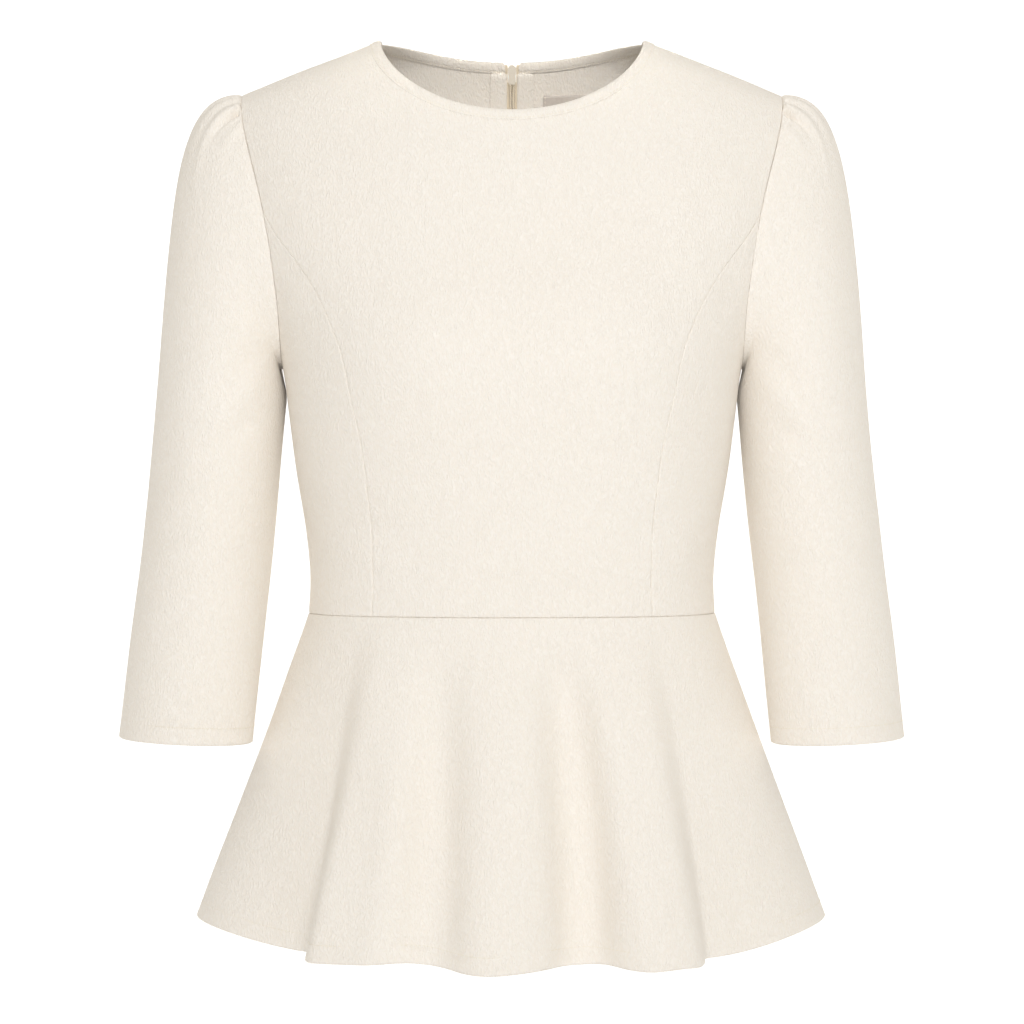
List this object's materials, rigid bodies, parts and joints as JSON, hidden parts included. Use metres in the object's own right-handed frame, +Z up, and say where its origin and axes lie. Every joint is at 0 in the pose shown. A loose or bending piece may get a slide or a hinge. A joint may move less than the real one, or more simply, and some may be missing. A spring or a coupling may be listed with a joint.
{
  "type": "peplum top",
  "caption": "Fitted round-necked top in heavy crepe with gathered three-quarter sleeves, princess seams, a waist seam and a flared peplum, with a back zip.",
  "frame": {"origin": "middle of the neck opening, level with the neck ends of the shoulder seams", "axes": "+Z up the garment, -Y out of its front, +X to the wearer's left"},
  "size_m": [0.5402, 0.3191, 0.6258],
  "materials": {
    "crepe": "fine pebbled crepe, matt",
    "zip_tape": "woven tape with a moulded coil",
    "zip_enamel": "satin enamel",
    "label_satin": "satin weave"
  },
  "bodies": {
    "garment": {"front": "crepe", "side_front_left": "crepe", "side_front_right": "crepe", "back_left": "crepe", "back_right": "crepe", "sleeve_left": "crepe", "sleeve_right": "crepe", "peplum_front": "crepe", "peplum_back_left": "crepe", "peplum_back_right": "crepe", "neck_binding": "crepe", "zip_tape_left": "zip_tape", "zip_tape_right": "zip_tape", "zip_slider": "zip_enamel", "label": "label_satin"},
    "pull": {"zip_pull": "zip_enamel"}
  },
  "joints": [
    {"name": "pull_swing", "type": "hinge", "parent": "garment", "child": "pull", "pos_m": [0, 0.0602, -0.009], "axis": [1, 0, 0], "range_deg": [0, 150]}
  ]
}
